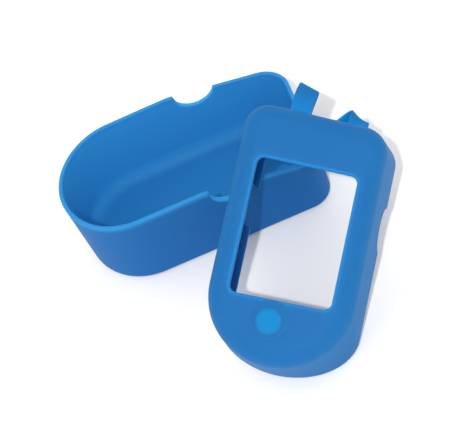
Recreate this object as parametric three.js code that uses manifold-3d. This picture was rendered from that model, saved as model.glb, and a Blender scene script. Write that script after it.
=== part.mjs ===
// Two-piece moulded silicone case of a pager, lying open. Millimetres, +Z up.
// The rear tub stands on its flat floor. The windowed front cover leans on the tub's front rim.
// X runs along the tub: the round end points to -X and the square end to +X.
import * as THREE from 'three';
import { mergeVertices } from 'three/addons/utils/BufferGeometryUtils.js';
import Module from 'manifold-3d';

const wasm = await Module();
wasm.setup();

// Shared mouldings
const WALL = 2.0;
const EDGE_ROUND = 0.45;
const GAP = 0.35;

// Rear tub
const TUB_LENGTH = 115.2;
const TUB_WIDTH = 63.4;
const TUB_ROUND_END = 30.2;
const TUB_CORNER = 11.6;
const TUB_HEIGHT = 41.0;
const TUB_LOW_END = 30.6;
const TUB_SLOPE_START = 3.0;
const TUB_DRAFT = 0.8;
const TUB_FOOT_ROUND = 3.0;
const TUB_FLOOR = 2.4;
const TUB_INNER_ROUND = 6.0;

// Finger notches in the tub's long rims
const NOTCH_X = 15.7;
const NOTCH_HALF = 9.6;
const NOTCH_DEPTH = 7.2;

// Front cover, drawn flat: X across, Y towards its square top end, Z out of its face
const COVER_LENGTH = 108.4;
const COVER_WIDTH = 61.6;
const COVER_ROUND_END = 29.6;
const COVER_CORNER = 10.8;
const COVER_DEPTH = 33.6;
const COVER_FLARE = 1.0;
const COVER_SIDE_FLARE = 0.3;
const COVER_REAR_ROUND_END = 22.0;
const COVER_FACE_ROUND = 8.5;
const COVER_FACE = 2.2;
const COVER_LIP = 3.8;
const COVER_LIP_THICK = 1.6;
const COVER_NOTCH_Y = 15.8;
const COVER_NOTCH_HALF = 10.2;
const COVER_NOTCH_DEPTH = 8.5;
const COVER_SAG = 4.3;

// Window and press button in the cover's face
const WINDOW_WIDTH = 42.8;
const WINDOW_LENGTH = 57.6;
const WINDOW_X = 0.8;
const WINDOW_Y = 1.6;
const WINDOW_CORNER = 3.2;
const BUTTON_X = -1.4;
const BUTTON_Y = -36.3;
const BUTTON_RADIUS = 5.9;
const BUTTON_THICK = 2.0;

// Strap loops on the cover's top wall
const LOOP_WIDTH = 9.2;
const LOOP_THICK = 1.5;
const LOOP_HEIGHT = 12.4;
const LOOP_SPREAD = 8.0;
const LOOP_LOW_HEIGHT = 6.2;
const LOOP_LEFT_X = -10.4;
const LOOP_RIGHT_X = 12.8;
const LOOP_LEFT_TURN = 28;
const LOOP_RIGHT_TURN = 40;
const LOOP_SEAT = 1.2;
const LOOP_Z = -16.5;

// How the cover lies: heading, lift of its top end, sideways tilt, centre of its face
const COVER_HEADING = -38.0;
const COVER_PITCH = 22.0;
const COVER_TILT = 11.0;
const COVER_CENTRE = [32.4, -80.0, 52.7];

// Shift that puts the middle of the whole case's footprint over the origin
const CASE_SHIFT = [-13.85, 45.5, 0];

// Segments along the round end, each straight side, each corner and the square end
const ROUND_STEPS = 32;
const SIDE_STEPS = 10;
const CORNER_STEPS = 6;
const END_STEPS = 4;

function uOutline(length, width, roundEnd, corner, inset) {
  // A U in plan: half ellipse at -X, square end with round corners at +X, counter-clockwise
  const halfWidth = width / 2 - inset;
  const end = length / 2 - inset;
  const semi = roundEnd - inset;
  const radius = Math.max(corner - inset, 1.2);
  const centre = -length / 2 + roundEnd;
  const points = [];
  for (let i = 0; i < ROUND_STEPS; i += 1) {
    const angle = Math.PI / 2 + (Math.PI * i) / ROUND_STEPS;
    points.push([centre + semi * Math.cos(angle), halfWidth * Math.sin(angle)]);
  }
  for (let i = 0; i < SIDE_STEPS; i += 1) {
    points.push([centre + ((end - radius - centre) * i) / SIDE_STEPS, -halfWidth]);
  }
  for (let i = 0; i < CORNER_STEPS; i += 1) {
    const angle = -Math.PI / 2 + (Math.PI / 2) * (i / CORNER_STEPS);
    points.push([end - radius + radius * Math.cos(angle), -halfWidth + radius + radius * Math.sin(angle)]);
  }
  for (let i = 0; i < END_STEPS; i += 1) {
    points.push([end, (radius - halfWidth) * (1 - (2 * i) / END_STEPS)]);
  }
  for (let i = 0; i < CORNER_STEPS; i += 1) {
    const angle = (Math.PI / 2) * (i / CORNER_STEPS);
    points.push([end - radius + radius * Math.cos(angle), halfWidth - radius + radius * Math.sin(angle)]);
  }
  for (let i = 0; i < SIDE_STEPS; i += 1) {
    points.push([end - radius - ((end - radius - centre) * i) / SIDE_STEPS, halfWidth]);
  }
  return points;
}

function loftRings(rings) {
  // Joins rings of equal point counts and closes both ends with a fan round a centre point
  const count = rings[0].length;
  const positions = rings.flat(2);
  const first = rings[0].reduce((sum, p) => sum + p[2], 0) / count;
  const last = rings[rings.length - 1].reduce((sum, p) => sum + p[2], 0) / count;
  positions.push(0, 0, first, 0, 0, last);
  const startPole = rings.length * count;
  const index = [];
  for (let i = 0; i < count; i += 1) {
    const next = (i + 1) % count;
    index.push(startPole, next, i);
    for (let r = 0; r < rings.length - 1; r += 1) {
      const low = r * count;
      const high = low + count;
      index.push(low + i, low + next, high + i);
      index.push(low + next, high + next, high + i);
    }
    const top = (rings.length - 1) * count;
    index.push(startPole + 1, top + i, top + next);
  }
  const geometry = new THREE.BufferGeometry();
  geometry.setAttribute('position', new THREE.Float32BufferAttribute(positions, 3));
  geometry.setIndex(index);
  return geometry;
}

function toSolid(geometry) {
  const bare = geometry.clone();
  bare.deleteAttribute('normal');
  bare.deleteAttribute('uv');
  const merged = mergeVertices(bare, 1e-4);
  const triVerts = new Uint32Array(merged.index.array);
  const vertProperties = new Float32Array(merged.attributes.position.array);
  return new wasm.Manifold(new wasm.Mesh({ numProp: 3, vertProperties, triVerts }));
}

function toGeometry(solid) {
  const mesh = solid.getMesh();
  const geometry = new THREE.BufferGeometry();
  geometry.setAttribute('position', new THREE.Float32BufferAttribute(mesh.vertProperties, 3));
  geometry.setIndex(Array.from(mesh.triVerts));
  geometry.computeVertexNormals();
  return geometry;
}

function silicone(color, roughness) {
  return new THREE.MeshStandardMaterial({ color, roughness, metalness: 0 });
}

function rimHeight(x) {
  const run = TUB_LENGTH / 2 - TUB_SLOPE_START;
  const slope = THREE.MathUtils.clamp((x - TUB_SLOPE_START) / run, 0, 1);
  return TUB_HEIGHT + (TUB_LOW_END - TUB_HEIGHT) * slope;
}

function tubRing(inset, fromFloor, belowRim) {
  // One ring of the tub, at a fixed height or at a fixed distance below the sloping rim
  const outline = uOutline(TUB_LENGTH, TUB_WIDTH, TUB_ROUND_END, TUB_CORNER, inset);
  return outline.map(([x, y]) => [x, y, belowRim === null ? fromFloor : rimHeight(x) - belowRim]);
}

function makeTub() {
  const rings = [];
  for (let i = 0; i <= 4; i += 1) {
    const angle = (Math.PI / 2) * (i / 4);
    const inset = TUB_DRAFT + TUB_FOOT_ROUND * (1 - Math.sin(angle));
    rings.push(tubRing(inset, TUB_FOOT_ROUND * (1 - Math.cos(angle)), null));
  }
  rings.push(tubRing(0, 0, EDGE_ROUND));
  rings.push(tubRing(EDGE_ROUND, 0, 0));
  rings.push(tubRing(WALL - EDGE_ROUND, 0, 0));
  rings.push(tubRing(WALL, 0, EDGE_ROUND));
  for (let i = 0; i <= 5; i += 1) {
    const angle = (Math.PI / 2) * (i / 5);
    const inset = TUB_DRAFT + WALL + TUB_INNER_ROUND * (1 - Math.cos(angle));
    rings.push(tubRing(inset, TUB_FLOOR + TUB_INNER_ROUND * (1 - Math.sin(angle)), null));
  }
  const notch = new THREE.Shape();
  notch.absellipse(NOTCH_X, rimHeight(NOTCH_X) + 1, NOTCH_HALF, NOTCH_DEPTH + 1, 0, Math.PI * 2);
  const cutter = new THREE.ExtrudeGeometry(notch, {
    depth: TUB_WIDTH + 10,
    bevelEnabled: false,
    curveSegments: 32,
  });
  cutter.rotateX(Math.PI / 2);
  cutter.translate(0, TUB_WIDTH / 2 + 5, 0);
  return toGeometry(toSolid(loftRings(rings)).subtract(toSolid(cutter)));
}

function coverRing(inset, z, flare = 0) {
  // The cover's U is the tub's U turned so that its square end points to +Y.
  // The flare goes from 0 at the face to 1 at the rear edge, which is wider and blunter.
  const length = COVER_LENGTH + 2 * COVER_FLARE * flare;
  const width = COVER_WIDTH + 2 * COVER_SIDE_FLARE * flare;
  const roundEnd = COVER_ROUND_END + (COVER_REAR_ROUND_END - COVER_ROUND_END) * flare;
  const outline = uOutline(length, width, roundEnd, COVER_CORNER, inset);
  return outline.map(([along, side]) => [-side, along, z]);
}

function sagAt(x, y) {
  // The soft cover leans on its left side only, so its free top right corner creeps down its face
  const across = (x + COVER_WIDTH / 2) / COVER_WIDTH;
  const along = Math.max(y / COVER_LENGTH + 0.5, 0);
  return -COVER_SAG * across * along ** 1.5;
}

function makeCover() {
  const rings = [];
  rings.push(coverRing(COVER_FACE_ROUND + WALL, -COVER_FACE));
  const innerRound = COVER_FACE_ROUND - COVER_FACE;
  for (let i = 0; i <= 4; i += 1) {
    const angle = (Math.PI / 2) * (i / 4);
    const inset = WALL + innerRound * (1 - Math.sin(angle));
    rings.push(coverRing(inset, -COVER_FACE - innerRound * (1 - Math.cos(angle))));
  }
  const lipTop = -COVER_DEPTH + COVER_LIP_THICK;
  rings.push(coverRing(WALL, lipTop + 0.8, 1));
  rings.push(coverRing(WALL + 0.8, lipTop, 1));
  rings.push(coverRing(WALL + COVER_LIP - EDGE_ROUND, lipTop, 1));
  rings.push(coverRing(WALL + COVER_LIP, lipTop - EDGE_ROUND, 1));
  rings.push(coverRing(WALL + COVER_LIP, -COVER_DEPTH + EDGE_ROUND, 1));
  rings.push(coverRing(WALL + COVER_LIP - EDGE_ROUND, -COVER_DEPTH, 1));
  rings.push(coverRing(EDGE_ROUND * 2, -COVER_DEPTH, 1));
  rings.push(coverRing(0, -COVER_DEPTH + EDGE_ROUND * 2, 1));
  for (let i = 0; i <= 6; i += 1) {
    const angle = (Math.PI / 2) * (i / 6);
    const inset = COVER_FACE_ROUND * (1 - Math.cos(angle));
    rings.push(coverRing(inset, -COVER_FACE_ROUND * (1 - Math.sin(angle))));
  }
  let solid = toSolid(loftRings(rings));

  const window = new THREE.Shape();
  const left = WINDOW_X - WINDOW_WIDTH / 2;
  const right = WINDOW_X + WINDOW_WIDTH / 2;
  const low = WINDOW_Y - WINDOW_LENGTH / 2;
  const high = WINDOW_Y + WINDOW_LENGTH / 2;
  window.absarc(right - WINDOW_CORNER, high - WINDOW_CORNER, WINDOW_CORNER, 0, Math.PI / 2);
  window.absarc(left + WINDOW_CORNER, high - WINDOW_CORNER, WINDOW_CORNER, Math.PI / 2, Math.PI);
  window.absarc(left + WINDOW_CORNER, low + WINDOW_CORNER, WINDOW_CORNER, Math.PI, Math.PI * 1.5);
  window.absarc(right - WINDOW_CORNER, low + WINDOW_CORNER, WINDOW_CORNER, Math.PI * 1.5, Math.PI * 2);
  const windowCut = new THREE.ExtrudeGeometry(window, { depth: 12, bevelEnabled: false, curveSegments: 6 });
  windowCut.translate(0, 0, -8);
  solid = solid.subtract(toSolid(windowCut));

  const buttonCut = new THREE.CylinderGeometry(BUTTON_RADIUS + GAP, BUTTON_RADIUS + GAP, 12, 40);
  buttonCut.rotateX(Math.PI / 2);
  buttonCut.translate(BUTTON_X, BUTTON_Y, 0);
  solid = solid.subtract(toSolid(buttonCut));

  const notch = new THREE.Shape();
  notch.absellipse(0, 0, COVER_NOTCH_HALF, COVER_NOTCH_DEPTH + 1, 0, Math.PI * 2);
  const notchCut = new THREE.ExtrudeGeometry(notch, {
    depth: COVER_WIDTH + 10,
    bevelEnabled: false,
    curveSegments: 24,
  });
  notchCut.rotateX(Math.PI / 2);
  notchCut.rotateZ(Math.PI / 2);
  notchCut.translate(-COVER_WIDTH / 2 - 5, COVER_NOTCH_Y, -COVER_DEPTH - 1);
  const geometry = toGeometry(solid.subtract(toSolid(notchCut)));
  const position = geometry.attributes.position;
  for (let i = 0; i < position.count; i += 1) {
    position.setY(i, position.getY(i) + sagAt(position.getX(i), position.getY(i)));
  }
  return geometry;
}

function makeButton() {
  // A slightly domed disc, flush with the cover's face, turned round its own axis
  const profile = [
    new THREE.Vector2(0, -BUTTON_THICK),
    new THREE.Vector2(BUTTON_RADIUS, -BUTTON_THICK),
    new THREE.Vector2(BUTTON_RADIUS, -0.5),
    new THREE.Vector2(BUTTON_RADIUS - 0.5, -0.1),
    new THREE.Vector2(BUTTON_RADIUS * 0.6, 0.1),
    new THREE.Vector2(0, 0.2),
  ];
  const geometry = new THREE.LatheGeometry(profile, 40);
  geometry.rotateX(Math.PI / 2);
  return geometry;
}

function makeLoop(height) {
  // A band folded over into a hairpin: two legs that leave the wall and meet in a round fold
  const outer = new THREE.CatmullRomCurve3([
    new THREE.Vector3(LOOP_SPREAD / 2, 0, 0),
    new THREE.Vector3(LOOP_SPREAD / 2 - 0.6, height * 0.35, 0),
    new THREE.Vector3(2.6, height * 0.75, 0),
    new THREE.Vector3(1.4, height * 0.95, 0),
    new THREE.Vector3(0, height, 0),
    new THREE.Vector3(-1.4, height * 0.95, 0),
    new THREE.Vector3(-2.6, height * 0.75, 0),
    new THREE.Vector3(-LOOP_SPREAD / 2 + 0.6, height * 0.35, 0),
    new THREE.Vector3(-LOOP_SPREAD / 2, 0, 0),
  ]);
  const points = outer.getPoints(32);
  const inner = points.map((point, i) => {
    const tangent = outer.getTangent(i / 32);
    return new THREE.Vector2(point.x - tangent.y * LOOP_THICK, point.y + tangent.x * LOOP_THICK);
  });
  const shape = new THREE.Shape();
  points.forEach((point, i) => (i === 0 ? shape.moveTo(point.x, point.y) : shape.lineTo(point.x, point.y)));
  inner.reverse().forEach((point) => shape.lineTo(point.x, Math.max(point.y, 0)));
  shape.closePath();
  const geometry = new THREE.ExtrudeGeometry(shape, { depth: LOOP_WIDTH, bevelEnabled: false });
  geometry.translate(0, 0, -LOOP_WIDTH / 2);
  geometry.rotateY(Math.PI / 2);
  return geometry;
}

function loopSeatY(x) {
  const wall = COVER_LENGTH / 2;
  return wall + sagAt(x, wall) + LOOP_SEAT;
}

function addMesh(group, name, geometry, material) {
  const mesh = new THREE.Mesh(geometry, material);
  mesh.name = name;
  group.add(mesh);
  return mesh;
}

const pagerCase = new THREE.Group();
const layout = new THREE.Group();
layout.position.set(...CASE_SHIFT);
pagerCase.add(layout);
addMesh(layout, 'rear_tub', makeTub(), silicone(0x2e70b8, 0.55));

const cover = new THREE.Group();
addMesh(cover, 'front_cover', makeCover(), silicone(0x2e76bb, 0.55));

const button = addMesh(cover, 'button_pad', makeButton(), silicone(0x2293d7, 0.5));
button.position.set(BUTTON_X, BUTTON_Y + sagAt(BUTTON_X, BUTTON_Y), 0);

const loopLeft = addMesh(cover, 'strap_loop_left', makeLoop(LOOP_HEIGHT), silicone(0x2a74bd, 0.55));
loopLeft.position.set(LOOP_LEFT_X, loopSeatY(LOOP_LEFT_X), LOOP_Z);
loopLeft.rotation.y = THREE.MathUtils.degToRad(LOOP_LEFT_TURN);

const loopRight = addMesh(cover, 'strap_loop_right', makeLoop(LOOP_LOW_HEIGHT), silicone(0x2a74bd, 0.55));
loopRight.position.set(LOOP_RIGHT_X, loopSeatY(LOOP_RIGHT_X), LOOP_Z);
loopRight.rotation.y = THREE.MathUtils.degToRad(LOOP_RIGHT_TURN);

cover.rotation.set(
  THREE.MathUtils.degToRad(COVER_PITCH),
  THREE.MathUtils.degToRad(COVER_TILT),
  THREE.MathUtils.degToRad(COVER_HEADING),
  'ZXY',
);
cover.position.set(...COVER_CENTRE);
layout.add(cover);

export default pagerCase;
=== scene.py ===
"""Two-piece silicone case of a pager: a deep rear tub and a windowed front cover leaning on it."""
import math

import bpy
import bmesh
import numpy as np
from mathutils import Matrix, Quaternion, Vector


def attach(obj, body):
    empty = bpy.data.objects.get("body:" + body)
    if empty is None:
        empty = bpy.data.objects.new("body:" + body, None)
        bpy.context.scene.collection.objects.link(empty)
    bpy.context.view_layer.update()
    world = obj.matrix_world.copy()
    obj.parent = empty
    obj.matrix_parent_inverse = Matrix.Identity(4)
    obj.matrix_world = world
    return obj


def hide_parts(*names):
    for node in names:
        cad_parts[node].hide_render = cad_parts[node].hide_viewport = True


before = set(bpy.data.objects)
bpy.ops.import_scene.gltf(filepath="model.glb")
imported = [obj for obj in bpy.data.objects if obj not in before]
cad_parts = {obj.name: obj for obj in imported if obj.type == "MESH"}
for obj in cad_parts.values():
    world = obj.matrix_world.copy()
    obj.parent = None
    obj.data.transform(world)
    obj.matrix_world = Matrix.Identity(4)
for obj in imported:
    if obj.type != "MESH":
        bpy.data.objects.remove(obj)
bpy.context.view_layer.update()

# ---------------------------------------------------------------- sizes, in millimetres
MM = 0.001

TUB_LENGTH, TUB_WIDTH = 115.2, 63.4
TUB_ROUND_END, TUB_CORNER = 30.2, 11.6
TUB_HEIGHT, TUB_LOW_END, TUB_SLOPE_START = 41.0, 30.6, 3.0
TUB_DRAFT, TUB_FOOT, TUB_FLOOR, TUB_INNER = 0.8, 3.0, 2.4, 6.0
TUB_CENTRE = (-13.85, 45.5)
WALL = 2.0
NOTCH_X, NOTCH_HALF, NOTCH_DEPTH = 15.7, 9.6, 7.2

COVER_LENGTH, COVER_WIDTH = 108.4, 61.6
COVER_ROUND_END, COVER_CORNER = 29.6, 10.8
COVER_DEPTH, COVER_ROUND, COVER_FACE = 33.6, 8.5, 2.2
COVER_FLARE, COVER_SIDE_FLARE, COVER_REAR_ROUND_END = 1.0, 0.3, 22.0
COVER_LIP, COVER_LIP_THICK, COVER_SAG = 3.8, 1.6, 4.3
COVER_NOTCH_Y, COVER_NOTCH_HALF, COVER_NOTCH_DEPTH = 15.8, 10.2, 8.5
COVER_HEADING, COVER_PITCH, COVER_TILT = -38.0, 22.0, 11.0
COVER_CENTRE = (18.55, -34.5, 52.7)

WINDOW_HALF = (21.4, 28.8)
WINDOW_CENTRE = np.array([0.8, 1.6])
WINDOW_CORNER = 3.2
BUTTON_X, BUTTON_Y, BUTTON_RADIUS = -1.4, -36.3, 5.9

LOOP_WIDTH, LOOP_THICK = 9.2, 1.5
LOOP_LEFT_X, LOOP_RIGHT_X = -10.4, 12.8

# rounding of the tub's rim, the window's lip and the cover's rear edge
TUB_RIM_ROUND, WINDOW_ROUND, REAR_ROUND = 0.7, 0.8, 0.8

# how much painted light the insides show, the lighter glow colour that lifts their shade as if lit
# through the thin walls: 0 is none
TUB_WALL_PAINTED_LIGHT, TUB_FLOOR_PAINTED_LIGHT, COVER_INSIDE_PAINTED_LIGHT = 0.85, 0.3, 0.9

# ---------------------------------------------------------------- small maths helpers


def rotation(heading, pitch, tilt):
    """Heading about Z, then pitch about X, then tilt about Y, in degrees."""
    turn = Matrix.Rotation(math.radians(heading), 3, "Z")
    turn = turn @ Matrix.Rotation(math.radians(pitch), 3, "X")
    return turn @ Matrix.Rotation(math.radians(tilt), 3, "Y")


def sag(x, y):
    """How far the leaning soft cover creeps down its own face, most at its top right corner."""
    across = (x + COVER_WIDTH / 2) / COVER_WIDTH
    along = np.maximum(y / COVER_LENGTH + 0.5, 0)
    return -COVER_SAG * across * along**1.5


def smooth_min(a, b, k):
    """The lower of two values, with the corner between them rounded over about k."""
    h = np.clip(0.5 + 0.5 * (b - a) / k, 0, 1)
    return b * (1 - h) + a * h - k * h * (1 - h)


def u_outline(length, width, round_end, corner, inset, side_x, steps=(96, 18, 12)):
    """A U in plan, counter-clockwise, with the round end at -X. side_x are the samples along a side."""
    round_steps, corner_steps, end_steps = steps
    half, end = width / 2 - inset, length / 2 - inset
    semi, radius = round_end - inset, max(corner - inset, 0.8)
    centre = -length / 2 + round_end
    t = math.pi / 2 + math.pi * np.arange(round_steps) / round_steps
    parts = [np.c_[centre + semi * np.cos(t), half * np.sin(t)]]
    sides = centre + (side_x - centre) * ((end - radius - centre) / (length / 2 - corner - centre))
    parts.append(np.c_[sides, np.full(len(sides), -half)])
    t = -math.pi / 2 + math.pi / 2 * np.arange(corner_steps) / corner_steps
    parts.append(np.c_[end - radius + radius * np.cos(t), -half + radius + radius * np.sin(t)])
    s = np.arange(end_steps) / end_steps
    parts.append(np.c_[np.full(end_steps, end), (radius - half) * (1 - 2 * s)])
    t = math.pi / 2 * np.arange(corner_steps) / corner_steps
    parts.append(np.c_[end - radius + radius * np.cos(t), half - radius + radius * np.sin(t)])
    back = np.r_[end - radius, sides[:0:-1]]
    parts.append(np.c_[back, np.full(len(back), half)])
    return np.vstack(parts)


def mesh_from_rings(name, rings, closed, caps=False, glow=None):
    """Joins rings of equal counts into a quad mesh. closed joins the last ring to the first."""
    count = len(rings[0])
    verts = np.vstack(rings) * MM
    faces = []
    total = len(rings)
    for r in range(total if closed else total - 1):
        low, high = r * count, ((r + 1) % total) * count
        for i in range(count):
            j = (i + 1) % count
            faces.append((low + i, low + j, high + j, high + i))
    if caps:
        faces.append(tuple(range(count - 1, -1, -1)))
        faces.append(tuple(range((total - 1) * count, total * count)))
    mesh = bpy.data.meshes.new(name)
    mesh.from_pydata(verts.tolist(), [], faces)
    if glow is not None:
        layer = mesh.attributes.new("glow", "FLOAT", "POINT")
        layer.data.foreach_set("value", np.concatenate(glow).astype(np.float32))
    mesh.update()
    mesh.shade_smooth()
    made = bpy.data.objects.new(name, mesh)
    bpy.context.scene.collection.objects.link(made)
    return made


def outward(obj):
    """Turns every face of a closed mesh outwards."""
    work = bmesh.new()
    work.from_mesh(obj.data)
    bmesh.ops.recalc_face_normals(work, faces=work.faces)
    work.to_mesh(obj.data)
    work.free()
    obj.data.shade_smooth()


# ---------------------------------------------------------------- rear tub


def tub_side_samples():
    centre = -TUB_LENGTH / 2 + TUB_ROUND_END
    stop = TUB_LENGTH / 2 - TUB_CORNER
    t = np.linspace(math.pi, 0, 46)
    notch = NOTCH_X + (NOTCH_HALF + 0.6) * np.cos(t)
    before = np.linspace(centre, notch[0], 30)[:-1]
    after = np.linspace(notch[-1], stop, 16)[1:-1]
    return np.r_[before, notch, after]


def tub_rim(x):
    """Height of the rim: level at the round end, falling to the square end."""
    t = np.clip((x - TUB_SLOPE_START) / (TUB_LENGTH / 2 - TUB_SLOPE_START), 0, 1)
    return TUB_HEIGHT + (TUB_LOW_END - TUB_HEIGHT) * t


def tub_edge(x, y):
    """Height of the rim with the two finger notches taken out, and a faint waviness of soft rubber."""
    full = tub_rim(x) + 0.18 * np.sin(x / 17.0 + y / 23.0)
    u = np.clip((x - NOTCH_X) / NOTCH_HALF, -1, 1)
    bowl = tub_rim(NOTCH_X) + 1 - (NOTCH_DEPTH + 1) * np.sqrt(1 - u * u)
    bowl = bowl + 60 * np.maximum(np.abs(x - NOTCH_X) - NOTCH_HALF, 0)
    on_side = np.abs(y) > TUB_WIDTH / 2 - 8
    return np.where(on_side, smooth_min(full, bowl, 0.4), full)


def build_tub():
    side_x = tub_side_samples()

    def plan(inset):
        return u_outline(TUB_LENGTH, TUB_WIDTH, TUB_ROUND_END, TUB_CORNER, inset, side_x)

    base = plan(0.0)
    x, y = base.T
    edge = tub_edge(x, y)
    along = np.roll(base, -1, 0) - np.roll(base, 1, 0)
    slope = (np.roll(edge, -1) - np.roll(edge, 1)) / np.maximum(np.hypot(*along.T), 1e-6)
    tilt = np.arctan(slope)
    unit = along / np.maximum(np.hypot(*along.T), 1e-6)[:, None]

    def wall_inset(z):
        return TUB_DRAFT * (1 - np.clip((z - TUB_FOOT) / (tub_rim(x) - TUB_FOOT), 0, 1))

    def ring(inset, z, sink=0.0):
        """A ring at an inset (one number or one per column) and a height, sunk square to the rim line."""
        inset = np.broadcast_to(np.asarray(inset, float), x.shape)
        low, high = np.floor(inset / 0.5) * 0.5, np.floor(inset / 0.5) * 0.5 + 0.5
        flat = np.empty_like(base)
        for value in np.unique(low):
            pick = low == value
            a, b = plan(value)[pick], plan(value + 0.5)[pick]
            flat[pick] = a + (b - a) * ((inset[pick] - value) / 0.5)[:, None]
        flat = flat + unit * (np.sin(tilt) * sink)[:, None]
        z = np.broadcast_to(np.asarray(z, float), x.shape) - np.cos(tilt) * sink
        return np.c_[flat + np.array(TUB_CENTRE), z]

    # glow holds painted light per ring: the lighter glow colour on the rim, at the top of the outer wall,
    # and on the inner walls and floor
    rings, glow = [], []

    def put(points, value):
        rings.append(points)
        glow.append(np.broadcast_to(np.asarray(value, float), (len(x),)))

    # painted light: the rim is lighter, most of all down in the notches, as if lit through the thin
    # rubber
    notch = np.clip((tub_rim(x) - edge) / 2.0, 0, 1)
    rim_glow = 0.6 + 0.4 * notch
    for t in np.linspace(0, math.pi / 2, 7):
        put(ring(TUB_DRAFT + TUB_FOOT * (1 - math.sin(t)), TUB_FOOT * (1 - math.cos(t))), 0.0)
    for t in np.linspace(0.06, 1, 16)[:-1]:
        z = TUB_FOOT + (edge - TUB_RIM_ROUND - TUB_FOOT) * t
        put(ring(wall_inset(z), z), 0.0 if t < 0.95 else 0.25)
    top_inset = wall_inset(edge)
    for t in np.linspace(0, math.pi / 2, 6):
        inset = top_inset + TUB_RIM_ROUND * (1 - math.cos(t))
        put(ring(inset, edge, TUB_RIM_ROUND * (1 - math.sin(t))), rim_glow)
    for t in np.linspace(math.pi / 2, 0, 6):
        inset = top_inset + WALL - TUB_RIM_ROUND * (1 - math.cos(t))
        put(ring(inset, edge, TUB_RIM_ROUND * (1 - math.sin(t))), rim_glow)
    for t in np.linspace(1, 0, 18)[1:]:
        z0 = TUB_FLOOR + TUB_INNER
        z = z0 + (edge - TUB_RIM_ROUND - z0) * t
        put(ring(wall_inset(z) + WALL, z), TUB_WALL_PAINTED_LIGHT)
    for t in np.linspace(0, math.pi / 2, 10)[1:]:
        inset = TUB_DRAFT + WALL + TUB_INNER * (1 - math.cos(t))
        light = TUB_WALL_PAINTED_LIGHT + (TUB_FLOOR_PAINTED_LIGHT - TUB_WALL_PAINTED_LIGHT) * math.sin(t) ** 2
        put(ring(inset, TUB_FLOOR + TUB_INNER * (1 - math.sin(t))), light)
    for inset in (14.0, 19.0):
        put(ring(inset, TUB_FLOOR), TUB_FLOOR_PAINTED_LIGHT)
    tub = mesh_from_rings("tub_skin", rings, closed=False, caps=True, glow=glow)
    outward(tub)
    return tub


# ---------------------------------------------------------------- front cover


def polar_radius(points, angles):
    """Distance from the window's centre to a closed curve, at each angle."""
    rel = points - WINDOW_CENTRE
    a = np.arctan2(rel[:, 1], rel[:, 0])
    order = np.argsort(a)
    a, r = a[order], np.hypot(*rel.T)[order]
    px, py = r * np.cos(a), r * np.sin(a)
    px, py = np.r_[px[-1], px, px[0]], np.r_[py[-1], py, py[0]]
    a = np.r_[a[-1] - 2 * math.pi, a, a[0] + 2 * math.pi]
    k = np.clip(np.searchsorted(a, angles, side="right") - 1, 0, len(a) - 2)
    dx, dy = px[k + 1] - px[k], py[k + 1] - py[k]
    cos, sin = np.cos(angles), np.sin(angles)
    cross = cos * dy - sin * dx
    return (px[k] * dy - py[k] * dx) / np.where(np.abs(cross) < 1e-9, 1e-9, cross)


def cover_plan(inset, flare=0.0):
    """The cover's outline. flare goes from 0 at the face to 1 at the wider, blunter rear edge."""
    length = COVER_LENGTH + 2 * COVER_FLARE * flare
    width = COVER_WIDTH + 2 * COVER_SIDE_FLARE * flare
    round_end = COVER_ROUND_END + (COVER_REAR_ROUND_END - COVER_ROUND_END) * flare
    side_x = np.linspace(-length / 2 + round_end, length / 2 - COVER_CORNER, 120)[:-1]
    flat = u_outline(length, width, round_end, COVER_CORNER, inset, side_x, (220, 48, 60))
    return np.c_[-flat[:, 1], flat[:, 0]]


def window_plan(grow):
    """The window's outline, a rectangle with round corners, grown on all sides."""
    half = np.array(WINDOW_HALF) + grow
    radius = WINDOW_CORNER + grow
    points = []
    for k, (sx, sy) in enumerate(((1, 1), (-1, 1), (-1, -1), (1, -1))):
        t = math.pi / 2 * (k + np.linspace(0, 1, 24))
        cx, cy = sx * (half[0] - radius), sy * (half[1] - radius)
        points.append(np.c_[cx + radius * np.cos(t), cy + radius * np.sin(t)])
        mx, my = ((-1, 1), (-1, -1), (1, -1), (1, 1))[k]
        nx, ny = mx * (half[0] - radius), my * (half[1] - radius)
        turn = math.pi / 2 * (k + 1)
        start = np.array([cx, cy]) + radius * np.array([math.cos(turn), math.sin(turn)])
        stop = np.array([nx, ny]) + radius * np.array([math.cos(turn), math.sin(turn)])
        points.append(start + (stop - start) * np.linspace(0, 1, 60)[1:-1, None])
    return np.vstack(points) + WINDOW_CENTRE


def cover_angles():
    """Angles of the columns: even steps, with more of them at the window's and the outline's corners."""
    spots = [np.linspace(-math.pi, math.pi, 181)[:-1]]
    half_x, half_y = (half - WINDOW_CORNER for half in WINDOW_HALF)
    for k, (sx, sy) in enumerate(((1, 1), (-1, 1), (-1, -1), (1, -1))):
        t = math.pi / 2 * (k + np.linspace(0, 1, 9))
        corner_y = sy * half_y + WINDOW_CORNER * np.sin(t)
        spots.append(np.arctan2(corner_y, sx * half_x + WINDOW_CORNER * np.cos(t)))
    for side in (-1, 1):
        y = COVER_NOTCH_Y + (COVER_NOTCH_HALF + 0.5) * np.cos(np.linspace(0, math.pi, 30))
        spots.append(np.arctan2(y - WINDOW_CENTRE[1], side * COVER_WIDTH / 2 - WINDOW_CENTRE[0]))
    angles = np.unique(np.round(np.concatenate(spots), 5))
    keep = np.r_[True, np.diff(angles) > 0.0035]
    return angles[keep]


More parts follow.
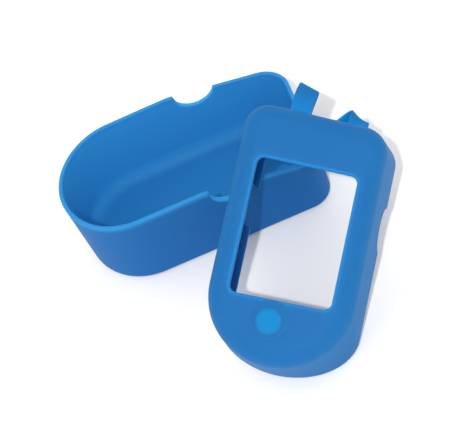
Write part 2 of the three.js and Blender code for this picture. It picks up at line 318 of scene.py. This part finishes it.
def build_cover():
    angles = cover_angles()
    ray = np.c_[np.cos(angles), np.sin(angles)]

    def outline(inset, flare=0.0):
        return WINDOW_CENTRE + ray * polar_radius(cover_plan(inset, flare), angles)[:, None]

    def opening(grow):
        return WINDOW_CENTRE + ray * polar_radius(window_plan(grow), angles)[:, None]

    # glow holds painted light per ring: the lighter glow colour on the window's wall and lip, round the
    # rear edge and lip, and on the inner walls, lifting their shade
    rings, glow = [], []

    def put(flat, z, value=0.0):
        z = np.broadcast_to(np.asarray(z, float), (len(flat),))
        y = flat[:, 1] + sag(flat[:, 0], flat[:, 1])
        rings.append(np.c_[flat[:, 0], y, z])
        glow.append(np.broadcast_to(np.asarray(value, float), (len(flat),)))

    # rear edge height, raised at the two side notches
    base = outline(0.0)
    u = np.clip((base[:, 1] - COVER_NOTCH_Y) / COVER_NOTCH_HALF, -1, 1)
    lift = (COVER_NOTCH_DEPTH + 1) * np.sqrt(1 - u * u) - 1
    on_side = np.abs(base[:, 0]) > COVER_WIDTH / 2 - 3
    lift = np.where(on_side, -smooth_min(-lift, np.zeros_like(lift), 0.9), 0.0)
    lift = np.maximum(lift, 0.0)
    rear = -COVER_DEPTH + lift
    at_notch = np.clip(lift / 3.0, 0, 1)

    # the face is flat, and rounds off towards the walls; both are read from the distance to the outline
    levels = np.arange(0.0, 14.01, 0.5)
    reach = np.array([polar_radius(cover_plan(e), angles) for e in levels])

    def edge_distance(radius):
        return np.array([np.interp(-q, -reach[:, i], levels) for i, q in enumerate(radius)])

    def face_drop(distance, round_radius, start=0.0):
        near = np.clip((round_radius + start - distance) / round_radius, 0, 1)
        return -round_radius * (1 - np.sqrt(1 - near * near))

    def put_radius(radius, z, value=0.0):
        put(WINDOW_CENTRE + ray * radius[:, None], z, value)

    def window_radius(grow):
        return polar_radius(window_plan(grow), angles)

    # window wall and its rounded lip, then a shallow step round its sides and top
    step = np.clip((opening(0.0)[:, 1] - WINDOW_CENTRE[1] + WINDOW_HALF[1] - 1.0) / 6.0, 0, 1)
    put(opening(0.0), -1.35, 1.0)
    for t in np.linspace(0, math.pi / 2, 6):
        radius = window_radius(WINDOW_ROUND * (1 - math.cos(t)))
        drop = face_drop(edge_distance(radius), COVER_ROUND)
        put_radius(radius, drop - WINDOW_ROUND * (1 - math.sin(t)) - 0.22 * step, 1.0)
    step_profile = ((1.3, 0.22, 0.4), (1.9, 0.24, 0.1), (2.3, 0.15, 0), (2.7, 0.04, 0), (3.1, 0, 0))
    for grow, depth, value in step_profile:
        radius = window_radius(grow)
        put_radius(radius, face_drop(edge_distance(radius), COVER_ROUND) - depth * step, value)
    inner = window_radius(3.3)
    outer = np.maximum(polar_radius(cover_plan(COVER_ROUND + 0.5), angles), inner + 0.1)
    for t in np.linspace(0, 1, 14):
        radius = inner + (outer - inner) * t
        put_radius(radius, face_drop(edge_distance(radius), COVER_ROUND))
    for k, t in enumerate(np.linspace(0, math.pi / 2, 18)):
        radius = polar_radius(cover_plan(COVER_ROUND * (1 - math.sin(t))), angles)
        radius = np.maximum(radius, inner + 0.15 + 0.08 * k)
        put_radius(radius, face_drop(edge_distance(radius), COVER_ROUND))
    for t in np.linspace(0, 1, 12)[1:]:
        z = -COVER_ROUND + (rear + REAR_ROUND + COVER_ROUND) * t
        put(outline(0.0, t), z, 0.0 if t < 0.95 else 0.3)
    for t in np.linspace(0, math.pi / 2, 5)[1:]:
        edge = outline(REAR_ROUND * (1 - math.cos(t)), 1.0)
        put(edge, rear + REAR_ROUND * (1 - math.sin(t)), 0.6)
    lip_full = COVER_LIP * (1 - 0.85 * at_notch)
    wall_in, lip_in = outline(WALL, 1.0), outline(WALL + COVER_LIP, 1.0)
    lip_edge = wall_in + (lip_in - wall_in) * (lip_full / COVER_LIP)[:, None]
    mid = outline(REAR_ROUND, 1.0)
    put(mid + (lip_edge - mid) * 0.5, rear, 0.8)
    put(mid + (lip_edge - mid) * 0.92, rear, 0.9)
    put(lip_edge, rear + 0.4, 1.0)
    put(lip_edge, rear + COVER_LIP_THICK - 0.4, 1.0)
    put(mid + (lip_edge - mid) * 0.92, rear + COVER_LIP_THICK, 0.6)
    put(wall_in + (lip_edge - wall_in) * 0.3, rear + COVER_LIP_THICK + 0.1, 0.2)
    put(wall_in + (lip_edge - wall_in) * 0.04, rear + COVER_LIP_THICK + 0.7, 0.0)
    for t in np.linspace(0, 1, 10)[1:]:
        z = rear + COVER_LIP_THICK + 1.4 + (-COVER_ROUND - rear - COVER_LIP_THICK - 1.4) * t
        put(outline(WALL, 1.0 - t), z, COVER_INSIDE_PAINTED_LIGHT)
    fillet = COVER_ROUND - COVER_FACE
    clear = window_radius(0.25)
    for k, t in enumerate(np.linspace(0, math.pi / 2, 12)[1:]):
        radius = polar_radius(cover_plan(WALL + fillet * (1 - math.cos(t))), angles)
        radius = np.maximum(radius, clear + 0.08 * (12 - k))
        drop = face_drop(edge_distance(radius), fillet, WALL)
        put_radius(radius, drop - COVER_FACE, COVER_INSIDE_PAINTED_LIGHT)
    outer = np.maximum(polar_radius(cover_plan(COVER_ROUND + 0.5), angles), clear + 0.05)
    for t in np.linspace(1, 0, 12):
        radius = clear + (outer - clear) * t
        drop = face_drop(edge_distance(radius), fillet, WALL)
        put_radius(radius, drop - COVER_FACE, COVER_INSIDE_PAINTED_LIGHT)
    put(opening(0.04), -COVER_FACE + 0.3, 1.0)

    cover = mesh_from_rings("cover_skin", rings, closed=True, glow=glow)
    outward(cover)
    drill_button_hole(cover)
    place_on_cover(cover)
    return cover


def drill_button_hole(cover):
    """Opens a round-edged hole in the flat face for the press button, with a shallow ring round it."""
    work = bmesh.new()
    work.from_mesh(cover.data)
    glow = work.verts.layers.float["glow"]
    centre = Vector((BUTTON_X, BUTTON_Y + sag(BUTTON_X, BUTTON_Y), 0)) * MM
    top_loops, steps = [], 96
    hole = BUTTON_RADIUS + 0.1
    soft_edge = [(hole + 0.5, 0.0), (hole + 0.1, 0.0), (hole + 0.03, 0.0), (hole, -0.03), (hole, -1.0)]
    groove = [(8.7, 0.0), (8.5, 0.0), (8.2, -0.07), (7.9, -0.1), (7.6, -0.07), (7.3, 0.0)]
    for level, side, profile in ((0.0, 1, groove + soft_edge), (-COVER_FACE, -1, soft_edge)):
        height, reach = level * MM, (profile[0][0] + 0.15) * MM
        near = [
            f
            for f in work.faces
            if all(abs(v.co.z - height) < 1.1e-3 for v in f.verts)
            and any((v.co.xy - centre.xy).length < reach for v in f.verts)
            and abs(f.normal.z) > 0.7
            and f.normal.z * side > 0
        ]
        bmesh.ops.delete(work, geom=near, context="FACES")
        edges = [e for e in work.edges if e.is_boundary]
        edges = [e for e in edges if abs(e.verts[0].co.z - height) < 1.1e-3]
        rings = []
        for radius, depth in profile:
            ring = []
            for i in range(steps):
                a = 2 * math.pi * i / steps
                spot = Vector((math.cos(a) * radius, math.sin(a) * radius, 0)) * MM
                vert = work.verts.new(centre + spot + Vector((0, 0, height + side * depth * MM)))
                vert[glow] = 0.0
                ring.append(vert)
            rings.append(ring)
        first = [work.edges.new((rings[0][i], rings[0][(i + 1) % steps])) for i in range(steps)]
        bmesh.ops.triangle_fill(work, edges=edges + first, use_beauty=True)
        for a, b in zip(rings[:-1], rings[1:]):
            for i in range(steps):
                j = (i + 1) % steps
                work.faces.new((a[i], a[j], b[j], b[i]))
        top_loops.append(rings[-1])
    a, b = top_loops
    for i in range(steps):
        j = (i + 1) % steps
        work.faces.new((a[i], a[j], b[j], b[i]))
    loose = [v for v in work.verts if not v.link_faces]
    bmesh.ops.delete(work, geom=loose, context="VERTS")
    bmesh.ops.recalc_face_normals(work, faces=work.faces)
    work.to_mesh(cover.data)
    work.free()
    cover.data.shade_smooth()


def place_on_cover(obj):
    """Moves a mesh from the cover's own frame to its place on the leaning cover."""
    turn = rotation(COVER_HEADING, COVER_PITCH, COVER_TILT).to_4x4()
    move = Matrix.Translation(Vector(COVER_CENTRE) * MM)
    obj.data.transform(move @ turn)
    obj.data.update()


# ---------------------------------------------------------------- press button and strap loops


def build_button():
    edge = BUTTON_RADIUS + 0.09
    profile = [(0.01, -2.0), (5.0, -2.0), (edge - 0.3, -1.9), (edge, -1.6), (edge, -0.3), (edge, -0.03)]
    profile += [(edge - 0.03, 0.0), (edge - 0.08, 0.0), (edge - 0.15, 0.0)]
    dome = (5.6, 5.3, 5.0, 4.7, 4.4, 4.1, 3.6, 2.4, 1.2, 0.01)
    profile += [(radius, 0.2 * (1 - (radius / edge) ** 2)) for radius in dome]
    rings, glow = [], []
    for radius, z in profile:
        t = 2 * math.pi * np.arange(96) / 96
        rings.append(np.c_[radius * np.cos(t), radius * np.sin(t), np.full(96, z)])
        # painted light: the button is lighter towards its middle, the glow colour fading out near its
        # edge
        fade = np.clip((edge - 0.1 - radius) / 1.8, 0, 1)
        glow.append(np.full(96, fade * fade * (3 - 2 * fade)))
    button = mesh_from_rings("button_skin", rings, closed=False, caps=True, glow=glow)
    outward(button)
    shift = Vector((BUTTON_X, BUTTON_Y + sag(BUTTON_X, BUTTON_Y), 0)) * MM
    button.data.transform(Matrix.Translation(shift))
    place_on_cover(button)
    return button


def band(name, path, sides, width):
    """A flat moulded band along a path, with rounded edges. sides gives the band's width direction."""
    path, sides = np.array(path, float), np.array(sides, float)
    fine = np.linspace(0, len(path) - 1, 60)

    def spline(values):
        out = []
        for s in fine:
            i = min(int(s), len(values) - 2)
            t = s - i
            p0, p1 = values[max(i - 1, 0)], values[i]
            p2, p3 = values[i + 1], values[min(i + 2, len(values) - 1)]
            out.append(
                0.5
                * (
                    2 * p1
                    + (p2 - p0) * t
                    + (2 * p0 - 5 * p1 + 4 * p2 - p3) * t * t
                    + (3 * p1 - p0 - 3 * p2 + p3) * t**3
                )
            )
        return np.array(out)

    centre, across = spline(path), spline(sides)
    tangent = np.gradient(centre, axis=0)
    tangent /= np.linalg.norm(tangent, axis=1)[:, None]
    across -= tangent * np.sum(across * tangent, axis=1)[:, None]
    across /= np.linalg.norm(across, axis=1)[:, None]
    up = np.cross(tangent, across)
    section = []
    half_w, half_t, radius = width / 2, LOOP_THICK / 2, 0.5
    for cx, cy, start in ((1, 1, 0), (-1, 1, 90), (-1, -1, 180), (1, -1, 270)):
        for step in range(4):
            a = math.radians(start + 30 * step)
            section.append(
                (
                    cx * (half_w - radius) + radius * math.cos(a),
                    cy * (half_t - radius) + radius * math.sin(a),
                )
            )
    rings = [
        np.array([c + a * sx + n * sy for sx, sy in section])
        for c, a, n in zip(centre, across, up)
    ]
    # painted light: lighter long edges, and painted shading along the band, lighter at its start and on
    # its back leaf and darkest near the top of the fold
    lit_edge = np.array([0.25 if abs(sx) > half_w - 0.6 else 0.0 for sx, _ in section])
    shade = np.abs(np.linspace(-1, 1.4, len(rings))) ** 1.5
    glow = [lit_edge + 0.75 * min(s, 1.0) for s in shade]
    made = mesh_from_rings(name, rings, closed=False, caps=True, glow=glow)
    outward(made)
    place_on_cover(made)
    return made


def build_loops():
    top = COVER_LENGTH / 2
    left_y, right_y = top + sag(LOOP_LEFT_X, top), top + sag(LOOP_RIGHT_X, top)
    left_path = [
        (-9.8, left_y - 1.2, -12.6),
        (-9.7, left_y + 3.2, -12.7),
        (-9.4, left_y + 7.8, -13.2),
        (-9.0, left_y + 11.5, -14.4),
        (-9.0, left_y + 12.4, -15.8),
        (-9.4, left_y + 10.9, -17.2),
        (-10.6, left_y + 5.8, -18.6),
        (-11.6, left_y - 0.8, -19.6),
    ]
    left_side = [(1, 0, -0.12), (1, 0, -0.15), (1, -0.15, -0.2), (1, -0.3, -0.2)]
    left_side += [(1, -0.33, -0.2), (1, -0.3, -0.2), (1, -0.1, -0.2), (1, 0, -0.2)]
    left = band("loop_left_band", left_path, left_side, LOOP_WIDTH)
    right_path = [
        (15.3, right_y - 1.6, -12.6),
        (15.3, right_y + 1.2, -12.8),
        (15.1, right_y + 3.2, -13.4),
        (14.5, right_y + 4.2, -14.6),
        (12.9, right_y + 4.0, -16.0),
        (10.2, right_y + 2.2, -17.8),
        (6.8, right_y - 0.8, -19.3),
    ]
    right_side = [(1, -0.1, -0.1), (1, -0.3, -0.15), (1, -0.52, -0.2), (1, -0.57, -0.3)]
    right_side += [(0.9, -0.55, -0.5), (0.85, -0.45, -0.65), (0.75, -0.3, -0.7)]
    right = band("loop_right_band", right_path, right_side, LOOP_WIDTH * 0.96)
    return left, right


# ---------------------------------------------------------------- materials


def silicone(name, deep, bright, painted_glow_colour, roughness=0.55):
    """Matte translucent silicone: soft colour drift, fine moulded grain, and painted light: the glow
    attribute mixes in a brighter glow colour on thin edges, insides, the button and the loops.
    """
    made = bpy.data.materials.new(name)
    made.use_nodes = True
    nodes, links = made.node_tree.nodes, made.node_tree.links
    shader = nodes["Principled BSDF"]
    place = nodes.new("ShaderNodeTexCoord")
    cloud = nodes.new("ShaderNodeTexNoise")
    cloud.inputs["Scale"].default_value = 28.0
    cloud.inputs["Detail"].default_value = 3.0
    links.new(place.outputs["Object"], cloud.inputs["Vector"])
    drift = nodes.new("ShaderNodeMix")
    drift.data_type = "RGBA"
    drift.inputs["A"].default_value = (*deep, 1)
    drift.inputs["B"].default_value = (*bright, 1)
    links.new(cloud.outputs["Fac"], drift.inputs["Factor"])
    # painted light: the glow attribute mixes the painted glow colour over the base colour
    edge = nodes.new("ShaderNodeAttribute")
    edge.attribute_name = "glow"
    lit = nodes.new("ShaderNodeMix")
    lit.data_type = "RGBA"
    lit.inputs["B"].default_value = (*painted_glow_colour, 1)
    links.new(drift.outputs["Result"], lit.inputs["A"])
    links.new(edge.outputs["Fac"], lit.inputs["Factor"])
    links.new(lit.outputs["Result"], shader.inputs["Base Color"])
    shader.inputs["Subsurface Weight"].default_value = 0.5
    shader.inputs["Subsurface Radius"].default_value = (0.25, 0.7, 1.0)
    shader.inputs["Subsurface Scale"].default_value = 0.004
    shader.inputs["Specular IOR Level"].default_value = 0.1
    grain = nodes.new("ShaderNodeTexNoise")
    grain.inputs["Scale"].default_value = 1600.0
    grain.inputs["Detail"].default_value = 2.0
    links.new(place.outputs["Object"], grain.inputs["Vector"])
    rough = nodes.new("ShaderNodeMapRange")
    rough.inputs["To Min"].default_value = roughness - 0.06
    rough.inputs["To Max"].default_value = roughness + 0.08
    links.new(cloud.outputs["Fac"], rough.inputs["Value"])
    links.new(rough.outputs["Result"], shader.inputs["Roughness"])
    bump = nodes.new("ShaderNodeBump")
    bump.inputs["Strength"].default_value = 0.12
    bump.inputs["Distance"].default_value = 0.0001
    links.new(grain.outputs["Fac"], bump.inputs["Height"])
    links.new(bump.outputs["Normal"], shader.inputs["Normal"])
    return made


tub = build_tub()
cover = build_cover()
button = build_button()
loop_left, loop_right = build_loops()

# darker and lighter end of the slow colour drift, then the painted-light colour of the lighter edges and
# insides
tub_blue = silicone(
    "silicone_tub_blue", (0.009, 0.114, 0.345), (0.012, 0.132, 0.385), (0.034, 0.30, 0.62)
)
cover_blue = silicone(
    "silicone_cover_blue", (0.009, 0.122, 0.350), (0.012, 0.142, 0.375), (0.014, 0.19, 0.47)
)
button_blue = silicone(
    "silicone_button_blue", (0.009, 0.126, 0.350), (0.012, 0.144, 0.375), (0.002, 0.205, 0.465)
)
loop_blue = silicone(
    "silicone_loop_blue", (0.010, 0.090, 0.29), (0.013, 0.105, 0.32), (0.002, 0.26, 0.60)
)

for piece, body, node, slot, material in (
    (tub, "tub", "rear_tub", "silicone_tub", tub_blue),
    (cover, "cover", "front_cover", "silicone_cover", cover_blue),
    (button, "button", "button_pad", "silicone_button", button_blue),
    (loop_left, "loop_left", "strap_loop_left", "silicone_loop", loop_blue),
    (loop_right, "loop_right", "strap_loop_right", "silicone_loop", loop_blue),
):
    piece.data.materials.append(material)
    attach(piece, body)
    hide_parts(node)

# ---------------------------------------------------------------- floor, light and camera

floor_mesh = bpy.data.meshes.new("floor")
floor_mesh.from_pydata([(-3, -3, 0), (3, -3, 0), (3, 3, 0), (-3, 3, 0)], [], [(0, 1, 2, 3)])
floor = bpy.data.objects.new("floor", floor_mesh)
bpy.context.scene.collection.objects.link(floor)
paper = bpy.data.materials.new("white_table")
paper.use_nodes = True
paper_shader = paper.node_tree.nodes["Principled BSDF"]
paper_shader.inputs["Base Color"].default_value = (0.96, 0.94, 0.92, 1)
paper_shader.inputs["Roughness"].default_value = 0.8
paper_shader.inputs["Specular IOR Level"].default_value = 0.1
floor_mesh.materials.append(paper)

world = bpy.data.worlds.new("studio")
bpy.context.scene.world = world
world.use_nodes = True
world.node_tree.nodes["Background"].inputs["Color"].default_value = (1, 1, 1, 1)
world.node_tree.nodes["Background"].inputs["Strength"].default_value = 0.95


key_data = bpy.data.lights.new("key", "AREA")
key_data.shape = "DISK"
key_data.size = 0.03
key_data.energy = 5.6
key = bpy.data.objects.new("key", key_data)
key.location = (-0.065, -0.609, 0.874)
key.rotation_mode = "QUATERNION"
key.rotation_quaternion = (Vector((0, 0, 0.02)) - key.location).to_track_quat("-Z", "Y")
bpy.context.scene.collection.objects.link(key)

camera_data = bpy.data.cameras.new("camera")
camera_data.sensor_width = 36.0
camera_data.lens = 118.2
camera = bpy.data.objects.new("camera", camera_data)
camera.location = (0.02865, -0.4056, 0.5231)
look = Vector((-0.00622, 0.01489, 0.020)) - camera.location
camera.rotation_mode = "QUATERNION"
CAMERA_ROLL = Quaternion((0, 0, 1), math.radians(-26.89))
camera.rotation_quaternion = look.to_track_quat("-Z", "Y") @ CAMERA_ROLL
bpy.context.scene.collection.objects.link(camera)
bpy.context.scene.camera = camera
bpy.context.scene.view_settings.view_transform = "Standard"
